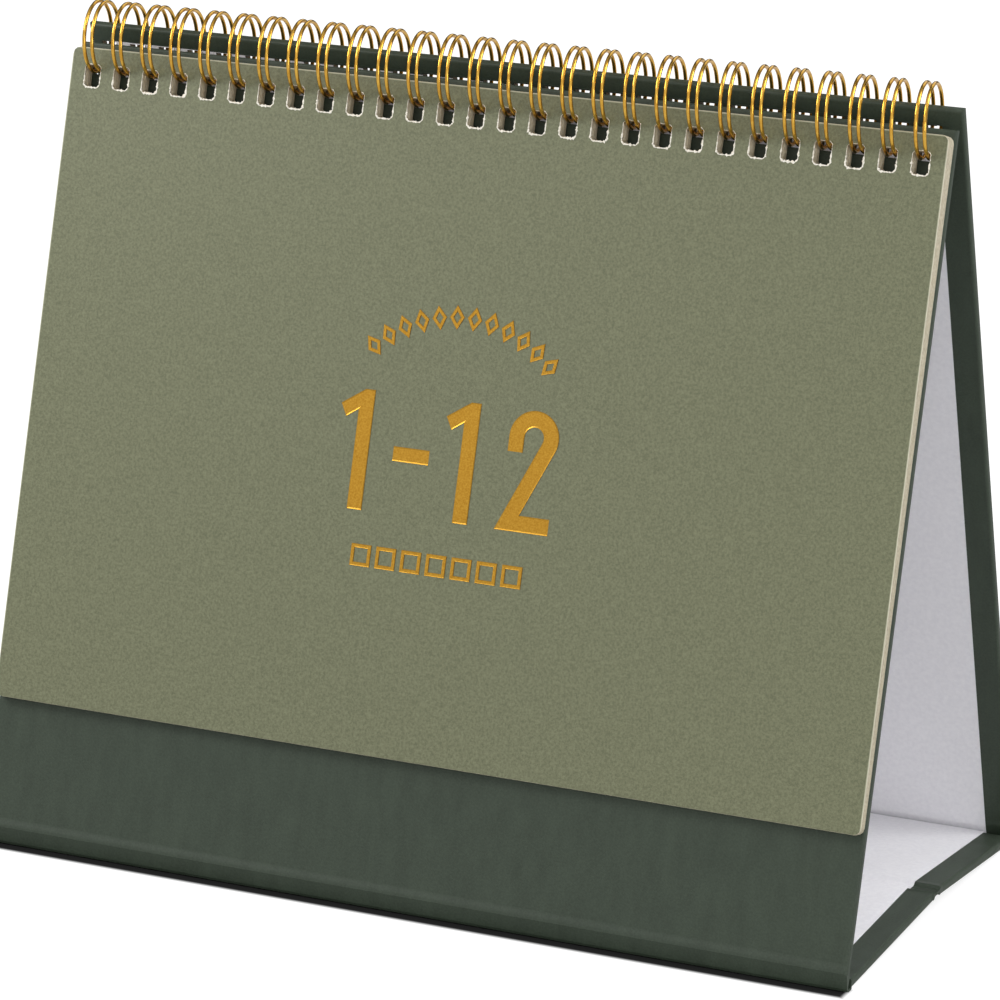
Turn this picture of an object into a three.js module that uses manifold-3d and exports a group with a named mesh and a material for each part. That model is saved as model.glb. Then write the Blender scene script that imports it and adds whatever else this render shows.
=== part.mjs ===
// A standing desk calendar: a folded case of wrapped greyboard that stands as a tent,
// with a pad of month sheets hung on its front by a twin-loop wire binding.
//
// Millimetres, +Z up. X runs along the width, and the pad faces -Y. The origin lies on
// the table, below the middle of the case.
//
// Each sloping panel has a frame of its own: x along the width, z up the slope from the
// panel's bottom fold, and y through the thickness, with y = 0 on the outer face.
import * as THREE from "three";
import { mergeVertices } from "three/addons/utils/BufferGeometryUtils.js";
import Module from "manifold-3d";

const wasm = await Module();
wasm.setup();

// The stand
const caseWidth = 242;
const caseDepth = 123; // between the outer faces, carried on down to the table
const frontPanelLength = 211;
const backPanelLength = 215;
const foldFromFront = 64; // where the base folds, measured from the front edge
const foldRise = 3.9; // how far the base lifts off the table at its fold
const hingeWidth = 5.2; // bare paper between a bottom fold and the board above it
const footSetback = 1.9; // how far the paper draws back below the board
const footRadius = 1; // of the bottom folds
const landEnd = 4.6; // where the flat strip that rests on the table ends
const foldGap = 5; // bare paper between the two base boards

// The layers of the case
const paperThickness = 0.3;
const boardThickness = 1.65;
const linerThickness = 0.22;
const glueGap = 0.08; // clearance between glued layers
const turnInWidth = 15; // covering paper folded over to the inside
const edgeRadius = 0.7; // where the paper bends round the edge of a board
const edgeOverrun = 0.2; // how far that rounding runs on past a board's ends
const linerSideInset = 7;
const linerTopInset = 4.2;
const linerSlack = 0.15; // how far past a board's end the liner starts to sink

// The pad
const sheetSideInset = 0.35; // from the side of the case to the side of the sheets
const sheetHeight = 170;
const sheetCornerRadius = 1.8;
const padTopInset = 1.8; // from the top of the front panel to the top of the sheets
const blockThicknessBottom = 2.1;
const blockThicknessTop = 3.5; // the sheets fan out below the wire
const coverThickness = 0.35;
const padGap = 0.12; // clearance behind the sheets and behind their cover

// The binding
const loopPitch = 25.4 / 3;
const loopRadius = 9.2; // to the middle of the wire
const wireDiameter = 1;
const strandSpacing = 2.3; // between the two strands of one loop
const holeWidth = 4.6;
const holeHeight = 6;
const holeCornerCut = 0.7;
const holeInset = 7.2; // from the top of the sheets to the middle of the holes
const holeSideMargin = 3.5; // least paper left beside the last hole of a row
const wireClearance = 0.3; // between the wire and the top of the front holes
const loopAheadOfFront = 1.15; // loop centre in front of the front panel's outer face
const loopBehindBack = 1.8; // wire line behind the back panel's outer face
const loopBelowBackTop = 0.8; // loop centre below the top of the back panel
const loopSlant = -2.3; // how far along X the back of a loop lies from its front
const closingAngle = 291; // where the loops close, between the panels, in degrees
const closingGap = 0.6; // between the tips of the loops and the spine
const spineBendRadius = 0.8;

// How finely the round shapes are divided
const wireSides = 5;
const loopSteps = 9;
const bendSteps = 3;
const cornerSteps = 3;
const edgeSteps = 3;
const footSteps = 2;

// Sizes worked out from these
const sheetWidth = caseWidth - 2 * sheetSideInset;
const holeRoom = sheetWidth - 2 * holeSideMargin - holeWidth;
const loopCount = 1 + Math.floor(holeRoom / loopPitch);
const slabThickness = paperThickness * 2 + glueGap * 2 + boardThickness;
const layersThickness = slabThickness + glueGap + linerThickness;
const punchReach = 2 * layersThickness;
const padTop = frontPanelLength - padTopInset;
const padBottom = padTop - sheetHeight;
const frontHoleHeight = padTop - holeInset;

// The loop's centre, measured in each panel's frame. The wire hangs at the top of the
// front holes, and passes the middle of the back ones.
const loopUpFront = frontHoleHeight + holeHeight / 2 - wireClearance - wireDiameter / 2
  + Math.sqrt(loopRadius ** 2 - (loopAheadOfFront + layersThickness) ** 2);
const loopUpBack = backPanelLength - loopBelowBackTop;
const loopInsideBack = loopRadius - loopBehindBack;
const backHoleHeight = loopUpBack
  - Math.sqrt(loopRadius ** 2 - (loopInsideBack - slabThickness / 2) ** 2);

// The two panels lean on each other at the loops: the loop centre is the top corner of
// a triangle that stands on the bottom folds.
const frontReach = Math.hypot(loopUpFront, loopAheadOfFront);
const backReach = Math.hypot(loopUpBack, loopInsideBack);
const apexFromFront = (caseDepth ** 2 + frontReach ** 2 - backReach ** 2) / (2 * caseDepth);
const apexHeight = Math.sqrt(frontReach ** 2 - apexFromFront ** 2);
const frontLean = Math.atan2(apexHeight, apexFromFront)
  - Math.atan2(loopAheadOfFront, loopUpFront);
const backLean = Math.atan2(apexHeight, caseDepth - apexFromFront)
  + Math.atan2(loopInsideBack, loopUpBack);
const leanShift = (hingeWidth * (Math.cos(frontLean) - Math.cos(backLean))) / 2;
const frontEdge = -caseDepth / 2 - leanShift; // keeps the case's middle over the origin
const backEdge = frontEdge + caseDepth;
const loopCentre = { y: frontEdge + apexFromFront, z: apexHeight };

const materials = {
  greenPaper: new THREE.MeshStandardMaterial({ color: 0x3e483e, roughness: 0.75 }),
  liner: new THREE.MeshStandardMaterial({ color: 0xd6d6da, roughness: 0.85 }),
  greyboard: new THREE.MeshStandardMaterial({ color: 0x8f8b82, roughness: 0.95 }),
  sheets: new THREE.MeshStandardMaterial({ color: 0xe9e2cc, roughness: 0.8 }),
  sageCard: new THREE.MeshStandardMaterial({ color: 0x81836d, roughness: 0.6 }),
  goldWire: new THREE.MeshStandardMaterial({ color: 0xc79a5b, roughness: 0.28, metalness: 1 }),
};

// A point of a panel seen from the side: `depth` inside its outer face, `height` up its
// slope. `side` is 1 for what starts at the front edge and -1 at the back edge.
function panelPoint(side, lean, depth, height) {
  const inward = height * Math.cos(lean) + depth * Math.sin(lean);
  return {
    y: side > 0 ? frontEdge + inward : backEdge - inward,
    z: height * Math.sin(lean) - depth * Math.cos(lean),
  };
}

const onFront = (depth, height) => panelPoint(1, frontLean, depth, height);
const onBack = (depth, height) => panelPoint(-1, backLean, depth, height);

// A point of a base half: `depth` above its lower face, `distance` along it.
const frontBaseSlope = Math.atan2(foldRise, foldFromFront);
const backBaseSlope = Math.atan2(foldRise, caseDepth - foldFromFront);
const frontBaseLength = Math.hypot(foldRise, foldFromFront);
const backBaseLength = Math.hypot(foldRise, caseDepth - foldFromFront);
const onFrontBase = (depth, distance) => panelPoint(1, frontBaseSlope, -depth, distance);
const onBackBase = (depth, distance) => panelPoint(-1, backBaseSlope, -depth, distance);

// The loops lean: each one hangs square in its front hole and drifts along X towards its
// back, so the row of holes in the back panel is shifted.
const loopBottom = onFront(-loopAheadOfFront, loopUpFront - loopRadius);
const drift = (y) => (loopSlant * (y - loopBottom.y)) / (2 * loopRadius);
const frontRow = { height: frontHoleHeight, shift: 0 };
const backRow = {
  height: backHoleHeight,
  shift: drift(onBack(slabThickness / 2, backHoleHeight).y),
};

// Moves every point of a side-view path inwards by a distance, with mitred corners. The
// path runs from the front top down, along the base and up the back.
function inset(path, distance) {
  return path.map((point, index) => {
    const before = path[Math.max(index - 1, 0)];
    const after = path[Math.min(index + 1, path.length - 1)];
    const normals = [];
    if (before !== point) normals.push(leftNormal(before, point));
    if (after !== point) normals.push(leftNormal(point, after));
    const first = normals[0];
    const last = normals[normals.length - 1];
    const sum = { y: first.y + last.y, z: first.z + last.z };
    const scale = (2 * distance) / (sum.y ** 2 + sum.z ** 2);
    return { y: point.y + sum.y * scale, z: point.z + sum.z * scale };
  });
}

function leftNormal(from, to) {
  const length = Math.hypot(to.y - from.y, to.z - from.z);
  return { y: -(to.z - from.z) / length, z: (to.y - from.y) / length };
}

// A bar of constant side view, centred on X.
function barAlongX(outline, width) {
  const shape = new THREE.Shape(outline.map((point) => new THREE.Vector2(point.y, point.z)));
  const geometry = new THREE.ExtrudeGeometry(shape, { depth: width, bevelEnabled: false });
  geometry.translate(0, 0, -width / 2);
  const axes = new THREE.Matrix4().makeBasis(
    new THREE.Vector3(0, 1, 0),
    new THREE.Vector3(0, 0, 1),
    new THREE.Vector3(1, 0, 0),
  );
  return geometry.applyMatrix4(axes);
}

function toSolid(geometry) {
  const bare = geometry.clone();
  bare.deleteAttribute("normal");
  bare.deleteAttribute("uv");
  const merged = mergeVertices(bare, 1e-5);
  return new wasm.Manifold(new wasm.Mesh({
    numProp: 3,
    vertProperties: new Float32Array(merged.attributes.position.array),
    triVerts: new Uint32Array(merged.index.array),
  }));
}

function toGeometry(solid) {
  const mesh = solid.getMesh();
  const geometry = new THREE.BufferGeometry();
  geometry.setAttribute("position", new THREE.BufferAttribute(mesh.vertProperties, 3));
  geometry.setIndex(new THREE.BufferAttribute(mesh.triVerts, 1));
  geometry.computeVertexNormals();
  return geometry;
}

function node(name, geometry, material) {
  const mesh = new THREE.Mesh(geometry, material);
  mesh.name = name;
  return mesh;
}

const loopPositions = Array.from(
  { length: loopCount },
  (_, index) => (index - (loopCount - 1) / 2) * loopPitch,
);

// A rectangle in x and z. Its corners are sharp with no steps, cut with one step and
// rounded with more.
function roundedRectangle(left, bottom, right, top, radius, steps) {
  const centres = [
    [right - radius, bottom + radius, -90],
    [right - radius, top - radius, 0],
    [left + radius, top - radius, 90],
    [left + radius, bottom + radius, 180],
  ];
  const points = centres.flatMap(([x, z, start]) =>
    Array.from({ length: steps + 1 }, (_, step) => {
      const angle = THREE.MathUtils.degToRad(start + (90 * step) / Math.max(steps, 1));
      return new THREE.Vector2(x + radius * Math.cos(angle), z + radius * Math.sin(angle));
    }));
  return new THREE.Shape(points);
}

function squareHole(x, height) {
  return roundedRectangle(
    x - holeWidth / 2,
    height - holeHeight / 2,
    x + holeWidth / 2,
    height + holeHeight / 2,
    0,
    0,
  );
}

function cutCornerHole(x, height) {
  return roundedRectangle(
    x - holeWidth / 2,
    height - holeHeight / 2,
    x + holeWidth / 2,
    height + holeHeight / 2,
    holeCornerCut,
    1,
  );
}

// A flat sheet in a panel's frame, from depth `near` to depth `far`.
function flatSheet(outline, near, far) {
  const geometry = new THREE.ExtrudeGeometry(outline, { depth: far - near, bevelEnabled: false });
  geometry.rotateX(Math.PI / 2);
  return geometry.translate(0, far, 0);
}

// The outer side of a bottom fold, down to the table. `side` is as for panelPoint.
function foot(side) {
  const edge = side > 0 ? frontEdge : backEdge;
  return Array.from({ length: footSteps + 1 }, (_, step) => {
    const angle = (Math.PI / 2) * (step / footSteps);
    const inward = footSetback + footRadius * (1 - Math.cos(angle));
    return { y: edge + side * inward, z: footRadius * (1 - Math.sin(angle)) };
  });
}

// The outer face of the covering paper, from the front top to the back top.
function outerPath() {
  const foldDepth = slabThickness / 2 - paperThickness;
  return [
    onFront(0, frontPanelLength),
    onFront(0, hingeWidth),
    ...foot(1),
    { y: frontEdge + landEnd, z: 0 },
    onFrontBase(0, hingeWidth),
    onFrontBase(0, frontBaseLength - foldGap / 2),
    onFrontBase(foldDepth, frontBaseLength - foldGap / 4),
    onBackBase(foldDepth, backBaseLength - foldGap / 4),
    onBackBase(0, backBaseLength - foldGap / 2),
    onBackBase(0, hingeWidth),
    { y: backEdge - landEnd, z: 0 },
    ...foot(-1).reverse(),
    onBack(0, hingeWidth),
    onBack(0, backPanelLength),
  ];
}

// A face inside the case: `slab` deep over the boards, which start at `bend`, and `bare`
// deep over the hinges. It ends `topInset` below the top of both panels.
function innerPath(slab, bare, bend, topInset) {
  const overHinges = inset(outerPath(), bare);
  const footEnd = 2 + footSteps + 2; // the fold's own points and the end of the strip
  return [
    onFront(slab, frontPanelLength - topInset),
    onFront(slab, bend),
    ...overHinges.slice(2, footEnd),
    onFrontBase(slab, bend),
    onFrontBase(slab, frontBaseLength - foldGap / 2),
    ...overHinges.slice(footEnd + 2, footEnd + 4),
    onBackBase(slab, backBaseLength - foldGap / 2),
    onBackBase(slab, bend),
    ...overHinges.slice(-footEnd, -2),
    onBack(slab, bend),
    onBack(slab, backPanelLength - topInset),
  ];
}

// The room for a board between the covering paper and its turn-ins.
function boardPocket(onPanel, length) {
  const nearDepth = paperThickness;
  const farDepth = slabThickness - paperThickness;
  const outline = [
    onPanel(nearDepth, length),
    onPanel(nearDepth, hingeWidth),
    onPanel(farDepth, hingeWidth),
    onPanel(farDepth, length),
  ];
  return toSolid(barAlongX(outline, caseWidth - 2 * paperThickness));
}

// The punches for one row of holes, in a panel's frame, through every layer there.
function punchRow(hole, row) {
  const outlines = loopPositions.map((x) => hole(x + row.shift, row.height));
  return flatSheet(outlines, -punchReach, punchReach);
}

// Punches both rows of holes through something that wraps both panels.
function punched(solid) {
  const front = punchRow(squareHole, frontRow).applyMatrix4(frontPanel.matrix);
  const back = punchRow(squareHole, backRow).applyMatrix4(backPanel.matrix);
  return solid.subtract(toSolid(front)).subtract(toSolid(back));
}

// What is cut away to round an edge along Z. The edge is at the origin, and the body
// lies on its +X and +Y sides.
function edgeCut(length) {
  const outside = -2 * edgeRadius;
  const shape = new THREE.Shape();
  shape.moveTo(outside, outside);
  shape.lineTo(edgeRadius, outside);
  for (let step = 0; step <= edgeSteps; step += 1) {
    const angle = (Math.PI / 2) * (step / edgeSteps);
    shape.lineTo(edgeRadius * (1 - Math.sin(angle)), edgeRadius * (1 - Math.cos(angle)));
  }
  shape.lineTo(outside, edgeRadius);
  const geometry = new THREE.ExtrudeGeometry(shape, { depth: length, bevelEnabled: false });
  return geometry.translate(0, 0, -length / 2);
}

// The cuts that round the edges of one wrapped board: both sides, and its top unless it
// meets the other base board there. `inward` is as for a board.
function roundedEdges(panel, inward, top, hasTopEdge) {
  const bottom = hingeWidth - edgeOverrun;
  const end = top + (hasTopEdge ? edgeRadius : edgeOverrun);
  const side = toSolid(edgeCut(end - bottom))
    .translate([-caseWidth / 2, 0, (bottom + end) / 2]);
  let edges = side.add(side.mirror([1, 0, 0]));
  if (hasTopEdge) {
    const along = edgeCut(caseWidth + 2 * edgeRadius).rotateY(Math.PI / 2);
    edges = edges.add(toSolid(along.translate(0, 0, top)));
  }
  edges = edges.add(edges.mirror([0, 1, 0]).translate([0, slabThickness, 0]));
  const placed = inward > 0 ? edges : edges.mirror([0, 1, 0]);
  return placed.transform(panel.matrix.toArray());
}

// One sheet of dark green paper wraps all four boards. Its edges are turned in round the
// sides and over the tops, and it is punched along both top edges.
function coveringPaper() {
  const outside = outerPath();
  const turnedIn = innerPath(slabThickness, 2 * paperThickness, hingeWidth, 0);
  let solid = toSolid(barAlongX([...outside, ...turnedIn.reverse()], caseWidth));
  solid = solid.subtract(boardPocket(onFront, frontPanelLength - paperThickness));
  solid = solid.subtract(boardPocket(onFrontBase, frontBaseLength - foldGap / 2));
  solid = solid.subtract(boardPocket(onBackBase, backBaseLength - foldGap / 2));
  solid = solid.subtract(boardPocket(onBack, backPanelLength - paperThickness));
  const window = [
    ...innerPath(paperThickness, paperThickness, hingeWidth, turnInWidth),
    onBack(2 * slabThickness, backPanelLength - turnInWidth),
    onFront(2 * slabThickness, frontPanelLength - turnInWidth),
  ];
  solid = solid.subtract(toSolid(barAlongX(window, caseWidth - 2 * turnInWidth)));
  solid = solid.subtract(roundedEdges(frontPanel, 1, frontPanelLength, true));
  solid = solid.subtract(roundedEdges(backPanel, -1, backPanelLength, true));
  solid = solid.subtract(roundedEdges(frontBase, -1, frontBaseLength - foldGap / 2, false));
  solid = solid.subtract(roundedEdges(backBase, 1, backBaseLength - foldGap / 2, false));
  return node("cover_paper", toGeometry(punched(solid)), materials.greenPaper);
}

// The pale sheet that lines the inside and hides the edges of the turned-in paper.
function linerSheet() {
  const bend = hingeWidth - linerSlack;
  const near = glueGap;
  const far = glueGap + linerThickness;
  const bare = 2 * paperThickness;
  const outline = [
    ...innerPath(slabThickness + near, bare + near, bend, linerTopInset),
    ...innerPath(slabThickness + far, bare + far, bend, linerTopInset).reverse(),
  ];
  const solid = toSolid(barAlongX(outline, caseWidth - 2 * linerSideInset));
  return node("liner_sheet", toGeometry(punched(solid)), materials.liner);
}

// A greyboard panel. `inward` is the sign of the panel's y on the side of the layers
// that lie inside its outer face.
function board(name, top, inward, holeRows) {
  const side = caseWidth / 2 - paperThickness - glueGap;
  const outline = roundedRectangle(-side, hingeWidth + glueGap, side, top - glueGap, 0, 0);
  const faces = [
    inward * (paperThickness + glueGap),
    inward * (paperThickness + glueGap + boardThickness),
  ];
  let solid = toSolid(flatSheet(outline, Math.min(...faces), Math.max(...faces)));
  holeRows.forEach((row) => {
    solid = solid.subtract(toSolid(punchRow(squareHole, row)));
  });
  return node(name, toGeometry(solid), materials.greyboard);
}

// Thickness of the block of sheets at a height up the front panel.
function blockThickness(height) {
  const share = (height - padBottom) / sheetHeight;
  return THREE.MathUtils.lerp(blockThicknessBottom, blockThicknessTop, share);
}

// A sheet-shaped piece between two faces, each given as its distance in front of the
// panel at a height.
function leaf(backDistance, frontDistance) {
  const outline = roundedRectangle(
    -sheetWidth / 2,
    padBottom,
    sheetWidth / 2,
    padTop,
    sheetCornerRadius,
    cornerSteps,
  );
  const geometry = flatSheet(outline, -1, 0);
  const position = geometry.attributes.position;
  for (let index = 0; index < position.count; index += 1) {
    const distance = position.getY(index) < -0.5 ? frontDistance : backDistance;
    position.setY(index, -distance(position.getZ(index)));
  }
  const holes = toSolid(punchRow(cutCornerHole, frontRow));
  return toGeometry(toSolid(geometry).subtract(holes));
}

function pageBlock() {
  const geometry = leaf(
    () => padGap,
    (height) => padGap + blockThickness(height),
  );
  return node("page_block", geometry, materials.sheets);
}

function frontCover() {
  const geometry = leaf(
    (height) => 2 * padGap + blockThickness(height),
    (height) => 2 * padGap + blockThickness(height) + coverThickness,
  );
  return node("front_cover", geometry, materials.sageCard);
}

// The twin-loop wire is one wire, bent flat into a comb of narrow U shapes joined by a
// spine, and then curled until the tips of the U shapes meet the spine. Its stations are
// laid out flat, as places along the width and along the curl.
function wireStations() {
  const half = strandSpacing / 2;
  const closing = wireDiameter + closingGap;
  const tip = 2 * Math.PI * loopRadius - closing - half;
  const strand = (x, from, to) => Array.from({ length: loopSteps + 1 }, (_, step) =>
    ({ x, along: THREE.MathUtils.lerp(from, to, step / loopSteps) }));
  const bend = (x, along, radius, start, turn, steps) =>
    Array.from({ length: steps - 1 }, (_, step) => {
      const angle = start + (turn * (step + 1)) / steps;
      return { x: x + radius * Math.cos(angle), along: along + radius * Math.sin(angle) };
    });
  const spine = spineBendRadius;
  return loopPositions.flatMap((x, index) => {
    const first = index === 0;
    const last = index === loopCount - 1;
    return [
      ...(first ? [] : bend(x - half - spine, spine, spine, -Math.PI / 2, Math.PI / 2, 2)),
      ...strand(x - half, spine, tip),
      ...bend(x, tip, half, Math.PI, -Math.PI, bendSteps),
      ...strand(x + half, tip, spine),
      ...(last ? [] : bend(x + half + spine, spine, spine, Math.PI, Math.PI / 2, 2)),
      ...(last ? [] : [
        { x: x + half + spine, along: 0 },
        { x: x + loopPitch - half - spine, along: 0 },
      ]),
    ];
  });
}

class CurledWire extends THREE.Curve {
  constructor(stations) {
    super();
    this.stations = stations;
  }

  getPoint(share) {
    const place = THREE.MathUtils.clamp(share, 0, 1) * (this.stations.length - 1);
    const index = Math.min(Math.floor(place), this.stations.length - 2);
    const start = this.curl(this.stations[index]);
    return start.lerp(this.curl(this.stations[index + 1]), place - index);
  }

  // Each station is one step of the sweep, so that the bends keep their own spacing.
  getUtoTmapping(share) {
    return share;
  }

  curl(station) {
    const start = THREE.MathUtils.degToRad(closingAngle);
    const angle = start + (station.along + (wireDiameter + closingGap) / 2) / loopRadius;
    const y = loopCentre.y + loopRadius * Math.cos(angle);
    const z = loopCentre.z + loopRadius * Math.sin(angle);
    return new THREE.Vector3(station.x + drift(y), y, z);
  }
}

function bindingWire() {
  const section = new THREE.Shape(Array.from({ length: wireSides }, (_, side) => {
    const angle = (2 * Math.PI * side) / wireSides;
    const radius = wireDiameter / 2;
    return new THREE.Vector2(radius * Math.cos(angle), radius * Math.sin(angle));
  }));
  const stations = wireStations();
  const geometry = new THREE.ExtrudeGeometry(section, {
    steps: stations.length - 1,
    extrudePath: new CurledWire(stations),
  });
  return node("binding_wire", geometry, materials.goldWire);
}

function panelGroup(edge, turn) {
  const group = new THREE.Group();
  group.position.y = edge;
  group.rotation.x = turn;
  group.updateMatrix();
  return group;
}

const quarterTurn = Math.PI / 2;
const frontPanel = panelGroup(frontEdge, frontLean - quarterTurn);
const backPanel = panelGroup(backEdge, quarterTurn - backLean);
const frontBase = panelGroup(frontEdge, frontBaseSlope - quarterTurn);
const backBase = panelGroup(backEdge, quarterTurn - backBaseSlope);

frontPanel.add(
  board("front_board", frontPanelLength - paperThickness, 1, [frontRow]),
  pageBlock(),
  frontCover(),
);
backPanel.add(board("back_board", backPanelLength - paperThickness, -1, [backRow]));
frontBase.add(board("base_front_board", frontBaseLength - foldGap / 2, -1, []));
backBase.add(board("base_rear_board", backBaseLength - foldGap / 2, 1, []));

const calendar = new THREE.Group();
calendar.add(coveringPaper(), linerSheet(), frontPanel, backPanel, frontBase, backBase, bindingWire());

export default calendar;
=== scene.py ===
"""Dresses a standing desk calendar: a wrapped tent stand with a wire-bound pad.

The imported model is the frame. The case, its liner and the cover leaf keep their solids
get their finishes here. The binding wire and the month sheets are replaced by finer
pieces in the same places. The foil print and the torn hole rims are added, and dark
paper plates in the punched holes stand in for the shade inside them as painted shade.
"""
import logging
import math
from dataclasses import dataclass, field
from enum import Enum

import bmesh
import bpy
import numpy as np
from mathutils import Matrix


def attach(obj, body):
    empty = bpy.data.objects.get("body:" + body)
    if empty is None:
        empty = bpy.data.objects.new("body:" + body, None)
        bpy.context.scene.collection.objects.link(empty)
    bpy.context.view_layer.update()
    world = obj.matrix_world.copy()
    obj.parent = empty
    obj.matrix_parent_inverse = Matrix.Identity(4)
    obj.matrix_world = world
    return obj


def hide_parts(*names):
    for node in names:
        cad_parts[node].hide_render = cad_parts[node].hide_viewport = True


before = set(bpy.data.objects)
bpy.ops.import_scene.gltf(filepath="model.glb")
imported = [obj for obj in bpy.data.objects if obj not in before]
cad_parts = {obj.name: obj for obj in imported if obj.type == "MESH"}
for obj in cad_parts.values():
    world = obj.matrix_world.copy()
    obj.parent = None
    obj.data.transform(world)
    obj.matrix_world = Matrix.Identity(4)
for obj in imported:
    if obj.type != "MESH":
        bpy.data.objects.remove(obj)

MM = 0.001
ACROSS = np.array([1.0, 0.0, 0.0])
DEEP = np.array([0.0, 1.0, 0.0])
UP = np.array([0.0, 0.0, 1.0])
ROOT_BODY = "root"
log = logging.getLogger("desk_calendar")


def srgb(red: float, green: float, blue: float) -> tuple[float, float, float, float]:
    """Turns a screen colour of 0 to 255 into the linear colour that Blender's nodes take.

    Args:
        red: The red channel.
        green: The green channel.
        blue: The blue channel.

    Returns:
        Linear red, green, blue and an alpha of 1.
    """
    shares = np.array([red, green, blue]) / 255
    linear = np.where(shares <= 0.04045, shares / 12.92, ((shares + 0.055) / 1.055) ** 2.4)
    return (float(linear[0]), float(linear[1]), float(linear[2]), 1.0)


class Slot(Enum):
    """The record's material slots that the new pieces belong to."""

    GREEN_PAPER = "green_paper"
    CREAM_PAPER = "cream_paper"
    GOLD_WIRE = "gold_wire"


@dataclass(frozen=True)
class PanelFrame:
    """The frame of a sloping panel: x, distance in front of its outer face, and height up it.

    Attributes:
        edge_y: Where the panel's bottom fold lies along Y.
        lean: The panel's angle above the table, in radians.
        side: 1 for the front panel, whose outer face looks to -Y, and -1 for the back one.
    """

    edge_y: float
    lean: float
    side: int

    def outward(self) -> np.ndarray:
        """Returns the unit normal of the outer face."""
        return np.array([0.0, -self.side * math.sin(self.lean), math.cos(self.lean)])

    def upward(self) -> np.ndarray:
        """Returns the unit vector up the slope."""
        return np.array([0.0, self.side * math.cos(self.lean), math.sin(self.lean)])

    def place(self, x: np.ndarray, out: np.ndarray, height: np.ndarray) -> np.ndarray:
        """Puts panel coordinates into the row frame.

        Args:
            x: Places along the width.
            out: Distances in front of the outer face.
            height: Distances up the slope.

        Returns:
            An array of points whose last axis is x, y and z.
        """
        x, out, height = np.broadcast_arrays(x, out, height)
        points = out[..., None] * self.outward() + height[..., None] * self.upward()
        points[..., 0] += x
        points[..., 1] += self.edge_y
        return points

    def locate(self, points: np.ndarray) -> tuple[np.ndarray, np.ndarray, np.ndarray]:
        """Turns points of the row frame back into x, distance out and height."""
        local = points - np.array([0.0, self.edge_y, 0.0])
        return points[..., 0], local @ self.outward(), local @ self.upward()


@dataclass(frozen=True)
class TentSizes:
    """The sizes that the stand, the pad and the binding share, in metres.

    The panels lean on each other at the binding loops, so the loop centre is the top
    corner of a triangle that stands on the two bottom folds.
    """

    case_width: float = 242 * MM
    depth: float = 123 * MM
    hinge: float = 5.2 * MM
    fold_from_front: float = 64 * MM
    front_length: float = 211 * MM
    back_length: float = 215 * MM
    layers: float = 2.71 * MM
    pad_top_inset: float = 1.8 * MM
    sheet_width: float = 241.3 * MM
    sheet_height: float = 170 * MM
    block_bottom: float = 2.1 * MM
    block_top: float = 3.5 * MM
    cover: float = 0.35 * MM
    pad_gap: float = 0.12 * MM
    loop_count: int = 28
    loop_pitch: float = 25.4 * MM / 3
    loop_radius: float = 9.2 * MM
    wire: float = 1.0 * MM
    strand_spacing: float = 2.3 * MM
    hole_width: float = 4.6 * MM
    hole_height: float = 6 * MM
    hole_corner: float = 0.7 * MM
    hole_inset: float = 7.2 * MM
    liner_top_inset: float = 4.2 * MM
    wire_clearance: float = 0.3 * MM
    loop_ahead: float = 1.15 * MM
    loop_behind: float = 1.8 * MM
    loop_below_top: float = 0.8 * MM
    loop_slant: float = -2.3 * MM

    @property
    def pad_top(self) -> float:
        """Height of the top of the sheets up the front panel."""
        return self.front_length - self.pad_top_inset

    @property
    def pad_bottom(self) -> float:
        """Height of the bottom of the sheets up the front panel."""
        return self.pad_top - self.sheet_height

    @property
    def hole_line(self) -> float:
        """Height of the middle of the sheets' holes up the front panel."""
        return self.pad_top - self.hole_inset

    @property
    def loop_places(self) -> np.ndarray:
        """Places of the loops along the width."""
        return (np.arange(self.loop_count) - (self.loop_count - 1) / 2) * self.loop_pitch

    def block_thickness(self, height: np.ndarray) -> np.ndarray:
        """Thickness of the block of sheets, which fans out towards the wire."""
        share = (height - self.pad_bottom) / self.sheet_height
        return self.block_bottom + (self.block_top - self.block_bottom) * share

    def cover_face(self, height: np.ndarray) -> np.ndarray:
        """Distance from the front panel to the printed face of the cover."""
        return 2 * self.pad_gap + self.block_thickness(height) + self.cover

    @property
    def loop_up_front(self) -> float:
        """Height of the loop centre up the front panel, with the wire at the holes' tops."""
        reach = math.sqrt(self.loop_radius**2 - (self.loop_ahead + self.layers) ** 2)
        return self.hole_line + self.hole_height / 2 - self.wire_clearance - self.wire / 2 + reach

    def triangle(self) -> tuple[PanelFrame, PanelFrame, np.ndarray]:
        """Works out the lean of both panels and the loop centre.

        Returns:
            The front panel's frame, the back panel's frame, and the loop centre's Y and Z.
        """
        up_front = self.loop_up_front
        up_back = self.back_length - self.loop_below_top
        inside_back = self.loop_radius - self.loop_behind
        front_reach = math.hypot(up_front, self.loop_ahead)
        back_reach = math.hypot(up_back, inside_back)
        along = (self.depth**2 + front_reach**2 - back_reach**2) / (2 * self.depth)
        high = math.sqrt(front_reach**2 - along**2)
        front_lean = math.atan2(high, along) - math.atan2(self.loop_ahead, up_front)
        back_lean = math.atan2(high, self.depth - along) + math.atan2(inside_back, up_back)
        shift = self.hinge * (math.cos(front_lean) - math.cos(back_lean)) / 2
        front = PanelFrame(-self.depth / 2 - shift, front_lean, 1)
        back = PanelFrame(self.depth / 2 - shift, back_lean, -1)
        return front, back, np.array([along - self.depth / 2 - shift, high])


SIZES = TentSizes()
FRONT, BACK, LOOP_CENTRE = SIZES.triangle()


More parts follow.
